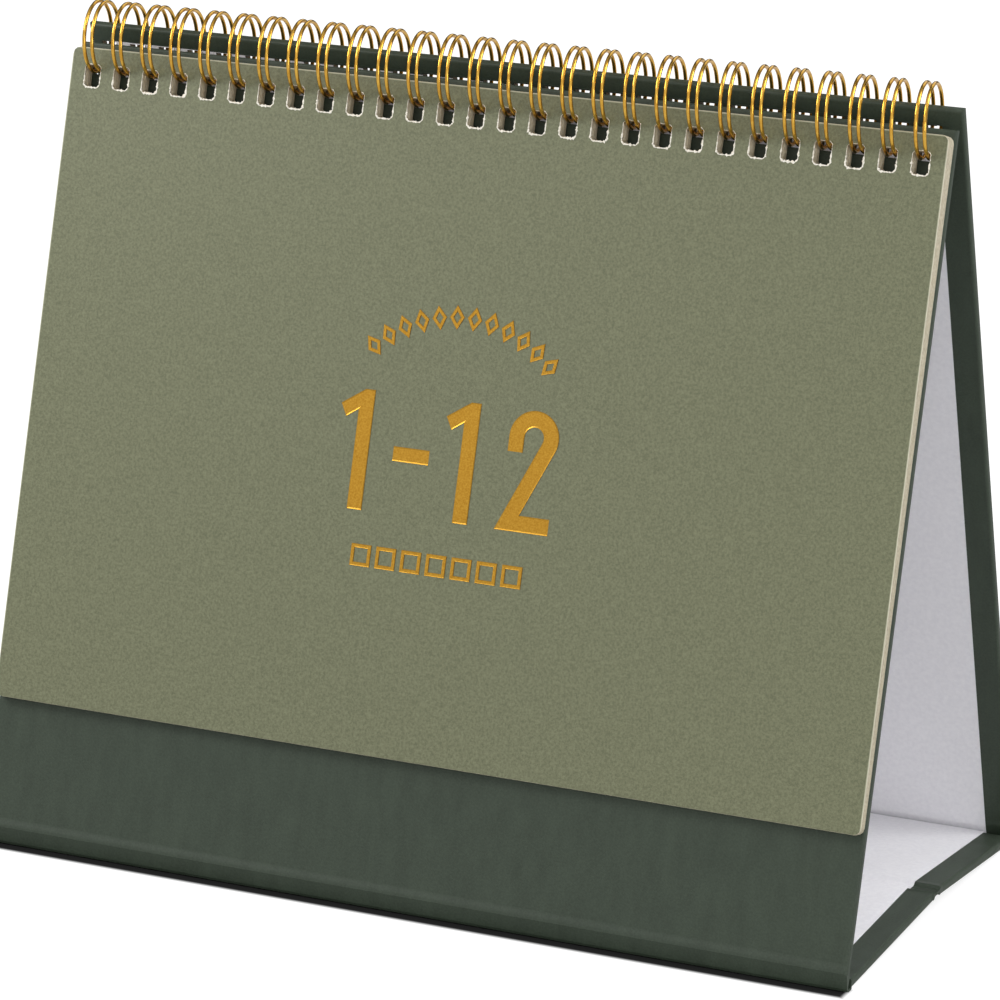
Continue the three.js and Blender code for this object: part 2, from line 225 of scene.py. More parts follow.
def new_piece(name: str, vertices: np.ndarray, faces: list, smooth: bool) -> bpy.types.Object:
    """Makes an object at the origin from arrays of vertices and faces.

    Args:
        name: The piece's name.
        vertices: Points in the row frame, one row each.
        faces: Lists of vertex numbers.
        smooth: Whether the faces are shaded smoothly.

    Returns:
        The new object, linked to the scene.
    """
    mesh = bpy.data.meshes.new(name)
    mesh.from_pydata(vertices.reshape(-1, 3).tolist(), [], faces)
    mesh.validate()
    mesh.polygons.foreach_set("use_smooth", np.full(len(mesh.polygons), smooth))
    piece = bpy.data.objects.new(name, mesh)
    bpy.context.scene.collection.objects.link(piece)
    return piece


def grid_faces(rows: int, columns: int, wrap_rows: bool, wrap_columns: bool,
               first: int = 0) -> list:
    """Lists the quads of a grid of vertices that is stored row by row.

    Args:
        rows: Number of rows.
        columns: Number of vertices in a row.
        wrap_rows: Whether the last row joins the first.
        wrap_columns: Whether each row is a ring.
        first: Number of the grid's first vertex.

    Returns:
        Quads as lists of four vertex numbers.
    """
    row = np.arange(rows if wrap_rows else rows - 1)[:, None]
    column = np.arange(columns if wrap_columns else columns - 1)[None, :]
    next_row = (row + 1) % rows
    next_column = (column + 1) % columns
    quads = np.stack(
        np.broadcast_arrays(
            row * columns + column,
            row * columns + next_column,
            next_row * columns + next_column,
            next_row * columns + column,
        ),
        axis=-1,
    )
    return (quads.reshape(-1, 4) + first).tolist()


class NodeSheet:
    """A material's node tree, with short calls for the nodes that the finishes use."""

    def __init__(self, name: str) -> None:
        """Starts an empty material with a Principled shader.

        Args:
            name: The material's name.
        """
        self.material = bpy.data.materials.new(name)
        self.material.use_nodes = True
        self.tree = self.material.node_tree
        self.shader = self.tree.nodes["Principled BSDF"]
        self.coordinates = self.tree.nodes.new("ShaderNodeTexCoord")

    def node(self, kind: str, **settings: object) -> bpy.types.Node:
        """Adds a node and sets its properties.

        Args:
            kind: The node's type.
            settings: Values of its properties, by name.

        Returns:
            The new node.
        """
        added = self.tree.nodes.new(kind)
        for name, value in settings.items():
            setattr(added, name, value)
        return added

    def link(self, source: bpy.types.NodeSocket, target: bpy.types.NodeSocket) -> None:
        """Joins an output to an input."""
        self.tree.links.new(source, target)

    def noise(self, scale: float, detail: float = 2,
              stretch: tuple = (1, 1, 1)) -> bpy.types.NodeSocket:
        """Adds noise on Object coordinates.

        Args:
            scale: Features in a metre.
            detail: Octaves of finer noise.
            stretch: Factors on the coordinates, for streaks.

        Returns:
            The noise value's socket.
        """
        mapping = self.node("ShaderNodeMapping")
        mapping.inputs["Scale"].default_value = stretch
        self.link(self.coordinates.outputs["Object"], mapping.inputs["Vector"])
        noise = self.node("ShaderNodeTexNoise")
        noise.inputs["Scale"].default_value = scale
        noise.inputs["Detail"].default_value = detail
        self.link(mapping.outputs["Vector"], noise.inputs["Vector"])
        return noise.outputs["Fac"]

    def ramp(self, value: bpy.types.NodeSocket, low: tuple, high: tuple,
             start: float = 0.3, end: float = 0.7) -> bpy.types.NodeSocket:
        """Colours a value between two colours.

        Args:
            value: The value's socket.
            low: The colour up to the start.
            high: The colour from the end on.
            start: The value where the blend starts.
            end: The value where the blend ends.

        Returns:
            The colour's socket.
        """
        ramp = self.node("ShaderNodeValToRGB")
        ramp.color_ramp.elements[0].position = start
        ramp.color_ramp.elements[0].color = low
        ramp.color_ramp.elements[1].position = end
        ramp.color_ramp.elements[1].color = high
        self.link(value, ramp.inputs["Fac"])
        return ramp.outputs["Color"]

    def tint(self, share: bpy.types.NodeSocket, base: bpy.types.NodeSocket,
             colour: tuple) -> bpy.types.NodeSocket:
        """Lays a colour over another one.

        Args:
            share: How much of it shows, from 0 to 1.
            base: The colour below.
            colour: The colour on top.

        Returns:
            The mixed colour's socket.
        """
        mix = self.node("ShaderNodeMix", data_type="RGBA")
        self.link(share, mix.inputs["Factor"])
        self.link(base, mix.inputs[6])
        mix.inputs[7].default_value = colour
        return mix.outputs[2]

    def math(self, operation: str, first: object, second: object = 0.0) -> bpy.types.NodeSocket:
        """Adds a Math node on sockets or plain numbers.

        Args:
            operation: The node's operation.
            first: Its first input, a socket or a number.
            second: Its second input, which an operation on one value doesn't read.

        Returns:
            The result's socket.
        """
        node = self.node("ShaderNodeMath", operation=operation)
        for socket, value in zip(node.inputs, (first, second)):
            if isinstance(value, bpy.types.NodeSocket):
                self.link(value, socket)
            else:
                socket.default_value = value
        return node.outputs["Value"]

    def bump(self, height: bpy.types.NodeSocket, depth: float, strength: float = 1.0) -> None:
        """Raises the surface by a height value times a depth.

        Args:
            height: The height value's socket.
            depth: The depth in metres.
            strength: The share of the relief that shows.
        """
        bump = self.node("ShaderNodeBump")
        bump.inputs["Distance"].default_value = depth
        bump.inputs["Strength"].default_value = strength
        self.link(height, bump.inputs["Height"])
        self.link(bump.outputs["Normal"], self.shader.inputs["Normal"])

    def along(self, direction: np.ndarray, edge_y: float) -> bpy.types.NodeSocket:
        """Measures Object coordinates along a direction, from the line y = edge_y, z = 0.

        Args:
            direction: A unit vector.
            edge_y: Where the line lies along Y.

        Returns:
            The distance's socket.
        """
        dot = self.node("ShaderNodeVectorMath", operation="DOT_PRODUCT")
        self.link(self.coordinates.outputs["Object"], dot.inputs[0])
        dot.inputs[1].default_value = tuple(float(part) for part in direction)
        return self.math("SUBTRACT", dot.outputs["Value"], float(direction[1] * edge_y))

    def smooth(self, value: bpy.types.NodeSocket, start: float, end: float) -> bpy.types.NodeSocket:
        """Eases from 0 at the start value to 1 at the end value, which may be the lower one.

        Args:
            value: The value's socket.
            start: The value that gives 0.
            end: The value that gives 1.

        Returns:
            The result's socket.
        """
        sign = 1 if end > start else -1
        node = self.node("ShaderNodeMapRange", interpolation_type="SMOOTHSTEP")
        self.link(self.math("MULTIPLY", value, sign), node.inputs["Value"])
        node.inputs["From Min"].default_value = start * sign
        node.inputs["From Max"].default_value = end * sign
        return node.outputs["Result"]

    def facing(self, direction: np.ndarray) -> bpy.types.NodeSocket:
        """Gives 1 where a face looks along a fixed direction or against it, and 0 across it.

        Args:
            direction: A unit vector.

        Returns:
            The result's socket.
        """
        dot = self.node("ShaderNodeVectorMath", operation="DOT_PRODUCT")
        self.link(self.coordinates.outputs["Normal"], dot.inputs[0])
        dot.inputs[1].default_value = tuple(float(part) for part in direction)
        return self.math("ABSOLUTE", dot.outputs["Value"])

    def set(self, **values: object) -> None:
        """Sets plain values on the shader's own sockets.

        Args:
            values: The values, by the sockets' names with underscores for spaces.
        """
        for name, value in values.items():
            label = name.replace("_", " ").title().replace("Ior", "IOR")
            self.shader.inputs[label].default_value = value

    def colour(self, source: bpy.types.NodeSocket) -> None:
        """Joins an output to the shader's base colour."""
        self.link(source, self.shader.inputs["Base Color"])


@dataclass(frozen=True)
class CoveringPaper:
    """Dark green paper with a fine dull grain, slightly streaked by its felt.

    It bulges a little over the lower ends of the boards and puckers at the base's fold.
    """

    light: tuple = srgb(58, 69, 56)
    dark: tuple = srgb(46, 56, 44)
    grain_scale: float = 1900
    streak_scale: float = 260
    streak_stretch: tuple = (1, 0.35, 0.35)
    grain_share: float = 0.6
    grain_depth: float = 0.05 * MM
    bulge: float = 0.3 * MM
    bulge_foot: float = 0.4 * MM
    bulge_top: float = 2.6 * MM
    pucker: float = 1.7 * MM
    pucker_scale: float = 420
    pucker_stretch: tuple = (0.5, 1.6, 1.0)
    pucker_core: float = 0.5 * MM
    pucker_reach: float = 4.5 * MM
    pucker_height: float = 9 * MM
    pucker_end: float = 14 * MM

    def build(self) -> bpy.types.Material:
        """Builds the material.

        The relief is the sum, in metres, of the grain, a smooth ridge just above each
        hinge, and wrinkles across the base near its fold.

        Returns:
            The material.
        """
        sheet = NodeSheet("covering_paper")
        grain = sheet.noise(self.grain_scale, 3)
        streaks = sheet.noise(self.streak_scale, 2, self.streak_stretch)
        worn = sheet.math(
            "ADD",
            sheet.math("MULTIPLY", grain, self.grain_share),
            sheet.math("MULTIPLY", streaks, 1 - self.grain_share),
        )
        sheet.colour(sheet.ramp(worn, self.dark, self.light, 0.35, 0.65))
        sheet.set(roughness=0.55, specular_ior_level=0.4)
        relief = sheet.math("MULTIPLY", worn, self.grain_depth)
        for panel in (FRONT, BACK):
            height = sheet.along(panel.upward(), panel.edge_y)
            foot = SIZES.hinge + self.bulge_foot
            ridge = sheet.smooth(height, SIZES.hinge + self.bulge_top, foot)
            relief = sheet.math("ADD", relief, sheet.math("MULTIPLY", ridge, self.bulge))
        fold = FRONT.edge_y + SIZES.fold_from_front
        from_fold = sheet.math("ABSOLUTE", sheet.along(DEEP, fold))
        near = sheet.math(
            "MULTIPLY",
            sheet.smooth(from_fold, self.pucker_reach, self.pucker_core),
            sheet.smooth(sheet.along(UP, 0.0), self.pucker_end, self.pucker_height),
        )
        wrinkles = sheet.noise(self.pucker_scale, 3, self.pucker_stretch)
        puckers = sheet.math("MULTIPLY", sheet.math("MULTIPLY", near, wrinkles), self.pucker)
        sheet.bump(sheet.math("ADD", relief, puckers), 1.0)
        return sheet.material


@dataclass(frozen=True)
class LiningPaper:
    """Smooth pale paper glued over the inside."""

    light: tuple = srgb(244, 243, 246)
    dark: tuple = srgb(236, 235, 239)
    turned_in: tuple = srgb(52, 61, 50)
    askew: float = 0.008
    fibre_scale: float = 900
    fibre_depth: float = 0.02 * MM

    def build(self) -> bpy.types.Material:
        """Builds the material.

        The sheet sits askew, so the dark turned-in paper shows above its top edge on the
        back panel, by a share of the distance from the left end.

        Returns:
            The material.
        """
        sheet = NodeSheet("lining_paper")
        fibres = sheet.noise(self.fibre_scale, 4)
        paper = sheet.ramp(fibres, self.dark, self.light)
        height = sheet.along(BACK.upward(), BACK.edge_y)
        from_left = sheet.math("ADD", sheet.along(ACROSS, 0.0), SIZES.sheet_width / 2)
        drop = sheet.math("MULTIPLY", from_left, self.askew)
        edge = sheet.math("ADD", height, drop)
        above = sheet.math("GREATER_THAN", edge, SIZES.back_length - SIZES.liner_top_inset)
        sheet.colour(sheet.tint(above, paper, self.turned_in))
        sheet.set(roughness=0.8, specular_ior_level=0.25)
        sheet.bump(fibres, self.fibre_depth, 0.5)
        return sheet.material


@dataclass(frozen=True)
class RecycledBoard:
    """Grey recycled board with dark flecks."""

    light: tuple = srgb(160, 152, 138)
    dark: tuple = srgb(118, 112, 102)
    fleck_scale: float = 1400
    fleck_depth: float = 0.08 * MM

    def build(self) -> bpy.types.Material:
        """Builds the material.

        Returns:
            The material.
        """
        sheet = NodeSheet("recycled_board")
        flecks = sheet.noise(self.fleck_scale, 6)
        sheet.colour(sheet.ramp(flecks, self.dark, self.light, 0.35, 0.55))
        sheet.set(roughness=0.95, specular_ior_level=0.15)
        sheet.bump(flecks, self.fleck_depth)
        return sheet.material


@dataclass(frozen=True)
class MonthPaper:
    """Cream uncoated paper, seen mostly by its cut edges."""

    light: tuple = srgb(216, 209, 190)
    dark: tuple = srgb(196, 187, 164)
    fibre_scale: float = 1300
    fibre_depth: float = 0.03 * MM

    def build(self) -> bpy.types.Material:
        """Builds the material.

        Returns:
            The material.
        """
        sheet = NodeSheet("month_paper")
        fibres = sheet.noise(self.fibre_scale, 3)
        sheet.colour(sheet.ramp(fibres, self.dark, self.light))
        sheet.set(roughness=0.85, specular_ior_level=0.2)
        sheet.bump(fibres, self.fibre_depth)
        return sheet.material


@dataclass(frozen=True)
class PearlCard:
    """Sage green card with a fine pearly mottle, rubbed upper and side edges and a pale core."""

    light: tuple = srgb(124, 127, 98)
    dark: tuple = srgb(97, 100, 74)
    core: tuple = srgb(218, 211, 190)
    rubbed: tuple = srgb(196, 196, 170)
    rub_width: float = 0.35 * MM
    mottle_scale: float = 1500
    fine_scale: float = 5200
    mottle_share: float = 0.55
    grain_depth: float = 0.05 * MM
    least_rough: float = 0.3
    rough_spread: float = 0.35
    cut_limit: float = 0.6

    def build(self) -> bpy.types.Material:
        """Builds the material.

        Returns:
            The material.
        """
        sheet = NodeSheet("pearl_card")
        mottle = sheet.noise(self.mottle_scale, 4)
        fine = sheet.noise(self.fine_scale, 2)
        grain = sheet.math(
            "ADD",
            sheet.math("MULTIPLY", mottle, self.mottle_share),
            sheet.math("MULTIPLY", fine, 1 - self.mottle_share),
        )
        face = sheet.ramp(grain, self.dark, self.light, 0.38, 0.62)
        side = sheet.math("ABSOLUTE", sheet.along(ACROSS, 0.0))
        half = SIZES.sheet_width / 2
        height = sheet.along(FRONT.upward(), FRONT.edge_y)
        rubs = sheet.math(
            "MAXIMUM",
            sheet.smooth(side, half - self.rub_width, half),
            sheet.smooth(height, SIZES.pad_top - self.rub_width, SIZES.pad_top),
        )
        worn = sheet.tint(rubs, face, self.rubbed)
        cut = sheet.math("LESS_THAN", sheet.facing(FRONT.outward()), self.cut_limit)
        sheet.colour(sheet.tint(cut, worn, self.core))
        spread = sheet.math("MULTIPLY", grain, self.rough_spread)
        rough = sheet.math("ADD", spread, self.least_rough)
        sheet.link(rough, sheet.shader.inputs["Roughness"])
        sheet.set(specular_ior_level=0.45, metallic=0.0)
        sheet.bump(grain, self.grain_depth, 0.5)
        return sheet.material


@dataclass(frozen=True)
class TornFibre:
    """White paper fibres standing at the rims of punched holes."""

    light: tuple = srgb(246, 242, 230)
    dark: tuple = srgb(214, 204, 182)
    fluff_scale: float = 4000
    fluff_depth: float = 0.05 * MM

    def build(self) -> bpy.types.Material:
        """Builds the material.

        Returns:
            The material.
        """
        sheet = NodeSheet("torn_fibre")
        fluff = sheet.noise(self.fluff_scale, 3)
        sheet.colour(sheet.ramp(fluff, self.dark, self.light, 0.3, 0.5))
        sheet.set(roughness=0.9, specular_ior_level=0.15)
        sheet.bump(fluff, self.fluff_depth)
        return sheet.material


@dataclass(frozen=True)
class Gold:
    """A gold metal: bright on the wire, satin in the stamped foil."""

    name: str
    light: tuple
    dark: tuple
    roughness: float
    grain_scale: float
    spread: float = 0.12
    grain_depth: float = 0.01 * MM

    def build(self) -> bpy.types.Material:
        """Builds the material.

        Returns:
            The material.
        """
        sheet = NodeSheet(self.name)
        haze = sheet.noise(self.grain_scale, 3)
        sheet.colour(sheet.ramp(haze, self.dark, self.light))
        sheet.set(metallic=1.0)
        haze_rough = sheet.math("MULTIPLY", haze, self.spread)
        rough = sheet.math("ADD", haze_rough, self.roughness - self.spread / 2)
        sheet.link(rough, sheet.shader.inputs["Roughness"])
        sheet.bump(haze, self.grain_depth, 0.4)
        return sheet.material


WIRE_GOLD = Gold("gold_wire", srgb(232, 186, 84), srgb(206, 154, 58),
                 roughness=0.17, grain_scale=600)
FOIL_GOLD = Gold("gold_foil", srgb(196, 150, 58), srgb(172, 124, 40),
                 roughness=0.36, grain_scale=2500)


@dataclass
class BindingWire:
    """The gold twin-loop wire: one wire bent into a comb of U shapes and curled into rings."""

    strand_steps: int = 44
    tip_steps: int = 10
    bend_steps: int = 5
    sides: int = 12
    closing_angle: float = 291
    closing_gap: float = 0.6 * MM
    spine_bend: float = 0.8 * MM

    def stations(self) -> np.ndarray:
        """Lays the wire out flat.

        Each loop goes up one strand, round its tip and down the other strand, and a
        quarter bend, a straight and another quarter bend lead to the next loop.

        Returns:
            Rows of places along the width and along the curl.
        """
        half = SIZES.strand_spacing / 2
        tip = 2 * math.pi * SIZES.loop_radius - SIZES.wire - self.closing_gap - half
        bend = self.spine_bend
        up = np.linspace(bend, tip, self.strand_steps + 1)
        turn = np.linspace(math.pi, 0, self.tip_steps + 1)[1:-1]
        out = np.linspace(math.pi, 1.5 * math.pi, self.bend_steps + 1)[1:]
        back = np.linspace(-0.5 * math.pi, 0, self.bend_steps + 1)[:-1]
        loop = np.concatenate([
            np.stack([bend * np.cos(back) - half - bend, bend * np.sin(back) + bend], axis=1),
            np.stack([np.full_like(up, -half), up], axis=1),
            np.stack([half * np.cos(turn), tip + half * np.sin(turn)], axis=1),
            np.stack([np.full_like(up, half), up[::-1]], axis=1),
            np.stack([bend * np.cos(out) + half + bend, bend * np.sin(out) + bend], axis=1),
        ])
        places = SIZES.loop_places[:, None, None] * np.array([1.0, 0.0]) + loop
        flat = places.reshape(-1, 2)
        return flat[self.bend_steps:len(flat) - self.bend_steps]

    def build(self) -> bpy.types.Object:
        """Curls the flat layout and sweeps a round section along it.

        A station at arc length a lies at the angle closing + a / radius round the loop
        centre. A loop hangs square in its front hole and drifts along X towards its back.
        The section turns with the radial direction, which the wire never follows.

        Returns:
            The wire's object.
        """
        flat = self.stations()
        start = math.radians(self.closing_angle)
        angle = start + (flat[:, 1] + (SIZES.wire + self.closing_gap) / 2) / SIZES.loop_radius
        radial = np.stack([np.zeros_like(angle), np.cos(angle), np.sin(angle)], axis=1)
        line = radial * SIZES.loop_radius
        line[:, 1:] += LOOP_CENTRE
        low = FRONT.place(np.zeros(1), SIZES.loop_ahead, SIZES.loop_up_front - SIZES.loop_radius)
        drift = SIZES.loop_slant * (line[:, 1] - low[0, 1]) / (2 * SIZES.loop_radius)
        line[:, 0] = flat[:, 0] + drift
        tangent = np.gradient(line, axis=0)
        tangent /= np.linalg.norm(tangent, axis=1, keepdims=True)
        across = np.cross(tangent, radial)
        across /= np.linalg.norm(across, axis=1, keepdims=True)
        outward = np.cross(across, tangent)
        turn = np.linspace(0, 2 * math.pi, self.sides, endpoint=False)
        ring = (np.cos(turn)[None, :, None] * outward[:, None, :]
                + np.sin(turn)[None, :, None] * across[:, None, :])
        points = line[:, None, :] + ring * SIZES.wire / 2
        faces = grid_faces(len(flat), self.sides, False, True)
        faces.append(list(range(self.sides))[::-1])
        faces.append(list(range((len(flat) - 1) * self.sides, len(flat) * self.sides)))
        wire = new_piece("twin_loop_wire", points, faces, True)
        recalculate_normals(wire)
        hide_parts("binding_wire")
        return wire


def recalculate_normals(piece: bpy.types.Object) -> None:
    """Turns all faces of a closed piece outwards.

    Args:
        piece: The piece's object.
    """
    mesh = bmesh.new()
    mesh.from_mesh(piece.data)
    bmesh.ops.recalc_face_normals(mesh, faces=mesh.faces)
    mesh.to_mesh(piece.data)
    mesh.free()


@dataclass
class MonthSheets:
    """The cream sheets behind the cover, each a thin leaf that lies a little out of line."""

    count: int = 14
    filled: float = 0.8
    stray: float = 0.14 * MM
    seed: int = 7
    merge_distance: float = 0.001 * MM

    def build(self) -> bpy.types.Object:
        """Slices the outline of the block into separate sheets.

        A point of the block at share s of its thickness goes to share (i + filled * s) /
        count in sheet number i, so every sheet keeps the block's corners and holes.

        Returns:
            The sheets' object.
        """
        source = bmesh.new()
        source.from_mesh(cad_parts["page_block"].data)
        bmesh.ops.remove_doubles(source, verts=source.verts, dist=self.merge_distance)
        block = np.array([vertex.co[:] for vertex in source.verts])
        outline = np.array([[vertex.index for vertex in face.verts] for face in source.faces])
        source.free()
        x, out, height = FRONT.locate(block)
        thickness = SIZES.block_thickness(height)
        share = np.round((out - SIZES.pad_gap) / thickness)
        rng = np.random.default_rng(self.seed)
        stray = rng.uniform(-self.stray, self.stray, (self.count, 2))
        sheets = []
        for number in range(self.count):
            level = (number + self.filled * share) / self.count
            sheets.append(FRONT.place(x + stray[number, 0], SIZES.pad_gap + thickness * level,
                                      height + stray[number, 1]))
        offsets = np.arange(self.count)[:, None, None] * len(block)
        faces = (outline[None] + offsets).reshape(-1, 3).tolist()
        piece = new_piece("month_sheets", np.concatenate(sheets), faces, False)
        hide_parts("page_block")
        return piece


@dataclass
class HoleRims:
    """Torn white fibres round the punched holes of the cover."""

    points: int = 56
    width: float = 0.32 * MM
    lift: float = 0.06 * MM
    tear_level: float = 0.86
    tear: float = 0.8
    calm: float = 0.45
    inner_low: float = 0.9
    inner_high: float = 0.35
    least_width: float = 0.25
    least_lift: float = 0.3
    crest: float = 0.6
    root: float = 0.2
    lip_lift: float = 0.8
    sunk: float = 0.5
    seed: int = 11

    def outline(self, count: int) -> np.ndarray:
        """Walks round a hole, with its cut corners, in even steps.

        Args:
            count: Number of points.

        Returns:
            Rows of x and height from the hole's middle.
        """
        half = np.array([SIZES.hole_width, SIZES.hole_height]) / 2
        cut = SIZES.hole_corner
        corners = np.array([
            [half[0] - cut, -half[1]], [half[0], cut - half[1]],
            [half[0], half[1] - cut], [half[0] - cut, half[1]],
            [cut - half[0], half[1]], [-half[0], half[1] - cut],
            [-half[0], cut - half[1]], [cut - half[0], -half[1]],
        ])
        closed = np.vstack([corners, corners[:1]])
        lengths = np.concatenate([[0], np.cumsum(np.linalg.norm(np.diff(closed, axis=0), axis=1))])
        places = np.linspace(0, lengths[-1], count, endpoint=False)
        return np.stack([np.interp(places, lengths, closed[:, axis]) for axis in (0, 1)], axis=1)

    def build(self) -> bpy.types.Object:
        """Lays a ragged closed band round each hole.

        The band's section has four points: under the card's face outside the hole, raised
        on it, over the edge, and down inside the hole. Seeded noise moves each of them,
        and the lower half of a hole is more ragged than the upper.

        Returns:
            The rims' object.
        """
        rng = np.random.default_rng(self.seed)
        ring = self.outline(self.points)
        centre_out = ring / np.linalg.norm(ring, axis=1, keepdims=True)
        vertices = []
        faces = []
        for number, place in enumerate(SIZES.loop_places):
            rough = rng.uniform(self.least_width, 1.0, (self.points, 1)) * self.width
            torn = rng.uniform(size=(self.points, 1)) > self.tear_level
            rough += torn * self.width * self.tear
            low = ring[:, 1:] < 0
            reach = np.where(low, rough, rough * self.calm)
            inner = reach * np.where(low, self.inner_low, self.inner_high)
            lift = rng.uniform(self.least_lift, 1.0, self.points) * self.lift
            section = [
                (ring + centre_out * reach, -self.sunk * self.lift),
                (ring + centre_out * reach * self.crest, lift),
                (ring - centre_out * inner, lift * self.lip_lift),
                (ring - centre_out * reach * self.root, -SIZES.cover),
            ]
            rows = []
            for plan, raised in section:
                height = SIZES.hole_line + plan[:, 1]
                out = SIZES.cover_face(height) + raised
                rows.append(FRONT.place(place + plan[:, 0], out, height))
            vertices.append(np.stack(rows))
            faces += grid_faces(4, self.points, True, True, number * 4 * self.points)
        piece = new_piece("hole_rims", np.stack(vertices), faces, True)
        recalculate_normals(piece)
        return piece


@dataclass
class HoleShadePlates:
    """Dark green paper plates in the lower part of each front hole, put there as painted shade so
    the holes read dark inside.
    """

    thickness: float = 0.3 * MM
    sunk: float = 0.1 * MM
    tuck: float = 0.12 * MM

    def build(self) -> bpy.types.Object:
        """Sets a closed plate into each hole of the front panel, up to just under the wire.

        A plate is a box between two layers of four corners. Its top is the lowest point
        where the circle round the wire's outer side, widened by the tuck, meets a layer.

        Returns:
            The plates' object.
        """
        centre = np.array([[0.0, LOOP_CENTRE[0], LOOP_CENTRE[1]]])
        _, wire_out, wire_height = FRONT.locate(centre)
        layers = np.array([-self.sunk, -self.sunk - self.thickness])
        reach = SIZES.loop_radius + SIZES.wire / 2 + self.tuck
        top = float(np.min(wire_height - np.sqrt(reach ** 2 - (layers - wire_out) ** 2)))
        bottom = SIZES.hole_line - SIZES.hole_height / 2 - self.tuck
        half = SIZES.hole_width / 2 + self.tuck
        plan = np.array([[-half, bottom], [half, bottom], [half, top], [-half, top]])
        vertices = []
        faces = []
        for number, place in enumerate(SIZES.loop_places):
            for layer in layers:
                vertices.append(FRONT.place(place + plan[:, 0], layer, plan[:, 1]))
            first = number * 2 * len(plan)
            faces += grid_faces(2, len(plan), False, True, first)
            corners = np.arange(first, first + len(plan))
            faces += [corners.tolist(), (corners[::-1] + len(plan)).tolist()]
        piece = new_piece("hole_shade_plates", np.stack(vertices), faces, False)
        recalculate_normals(piece)
        return piece


@dataclass
class FoilPrint:
    """A plain stamped design in gold foil: month marks on an arc, numerals and seven boxes."""

    rim: float = 0.12 * MM
    floor: float = 0.02 * MM
    edge: float = 0.3 * MM
    edge_divisor: float = 2.5
    digit_height: float = 30.5 * MM
    digit_base: float = 100.3 * MM
    digit_stroke: float = 4.1 * MM
    ones: tuple = (-26 * MM, 3.5 * MM)
    twos: tuple = (22.5 * MM,)
    dash: tuple = (-15.5 * MM, -5.5 * MM)
    dash_stroke: float = 0.9
    stem_shift: float = 0.45 * MM
    stem_shoulder: float = 0.35
    flag_tip: tuple = (-5.0 * MM, 4.2 * MM)
    flag_foot: tuple = (-3.3 * MM, 7.4 * MM)
    flag_root: float = 5.2 * MM
    bow_radius: float = 4.7 * MM
    bow_end: float = -24
    bow_points: int = 28
    bow_drop: float = 4 * MM
    arc_radius: float = 35.7 * MM
    arc_top: float = 151.6 * MM
    arc_half_angle: float = 43
    mark_count: int = 12
    mark_height: float = 2.3 * MM
    mark_width: float = 1.5 * MM
    mark_stroke: float = 0.85 * MM
    box_count: int = 7
    box_spread: float = 21 * MM
    box_half_width: float = 2.3 * MM
    box_height: float = 4.6 * MM
    box_base: float = 86.7 * MM
    box_stroke: float = 0.95 * MM
    vertices: list = field(default_factory=list)
    faces: list = field(default_factory=list)
    used: int = 0

    def stroke(self, path: np.ndarray, width: float, closed: bool) -> None:
        """Adds a stroke along a path on the cover, with a raised rim and a low floor.

        At each point the two neighbouring edge normals give a mitre, and the section
        (foot, rim, floor, floor, rim, foot) is set out along it.

        Args:
            path: Points in x and height.
            width: The stroke's full width.
            closed: Whether the path is a ring.
        """
        if closed:
            before = path - np.roll(path, 1, axis=0)
            after = np.roll(path, -1, axis=0) - path
        else:
            steps = np.diff(path, axis=0)
            before = np.vstack([steps[:1], steps])
            after = np.vstack([steps, steps[-1:]])
        before = before / np.linalg.norm(before, axis=1, keepdims=True)
        after = after / np.linalg.norm(after, axis=1, keepdims=True)
        left = np.stack([-before[:, 1] - after[:, 1], before[:, 0] + after[:, 0]], axis=1)
        left /= np.linalg.norm(left, axis=1, keepdims=True)
        square = np.stack([-before[:, 1], before[:, 0]], axis=1)
        left /= np.sum(left * square, axis=1, keepdims=True)
        half = width / 2
        edge = min(self.edge, half / self.edge_divisor)
        side = [(half, -self.floor), (half, self.rim), (half - edge, self.floor)]
        section = side + [(-across, raised) for across, raised in side[::-1]]
        rows = []
        for across, raised in section:
            plan = path + left * across
            rows.append(FRONT.place(plan[:, 0], SIZES.cover_face(plan[:, 1]) + raised, plan[:, 1]))
        points = np.stack(rows, axis=1)
        count = len(section)
        self.faces += grid_faces(len(path), count, closed, True, self.used)
        if not closed:
            first = list(range(self.used, self.used + count))
            self.faces += [first[::-1], [number + (len(path) - 1) * count for number in first]]
        self.vertices.append(points.reshape(-1, 3))
        self.used += len(path) * count

    def plate(self, outline: np.ndarray) -> None:
        """Adds a plate of any outline, with a raised rim and a low floor.

        A corner moves inwards along the sum of its two edge normals, divided by that sum's
        share along the first, so every edge keeps its direction.

        Args:
            outline: Corners in x and height, counter-clockwise.
        """
        before = outline - np.roll(outline, 1, axis=0)
        after = np.roll(outline, -1, axis=0) - outline
        before /= np.linalg.norm(before, axis=1, keepdims=True)
        after /= np.linalg.norm(after, axis=1, keepdims=True)
        first = np.stack([-before[:, 1], before[:, 0]], axis=1)
        both = first + np.stack([-after[:, 1], after[:, 0]], axis=1)
        inward = both / np.sum(both * first, axis=1, keepdims=True)
        for inset, raised in ((0, -self.floor), (0, self.rim), (self.edge, self.floor)):
            plan = outline + inward * inset
            out = SIZES.cover_face(plan[:, 1]) + raised
            self.vertices.append(FRONT.place(plan[:, 0], out, plan[:, 1]))
        count = len(outline)
        self.faces += grid_faces(3, count, False, True, self.used)
        lowest = list(range(self.used, self.used + count))
        self.faces += [lowest[::-1], [number + 2 * count for number in lowest]]
        self.used += 3 * count

    def one(self, x: float) -> None:
        """Adds the numeral one, a stem with a flag, as one plate.

        Args:
            x: The stem's place along the width.
        """
        right = self.digit_stroke
        top = self.digit_height
        corners = np.array([
            [0, 0], [right, 0], [right, top], [right * self.stem_shoulder, top],
            [self.flag_tip[0], top - self.flag_tip[1]],
            [self.flag_foot[0], top - self.flag_foot[1]],
            [0, top - self.flag_root],
        ])
        self.plate(corners + np.array([x - self.stem_shift, self.digit_base]))

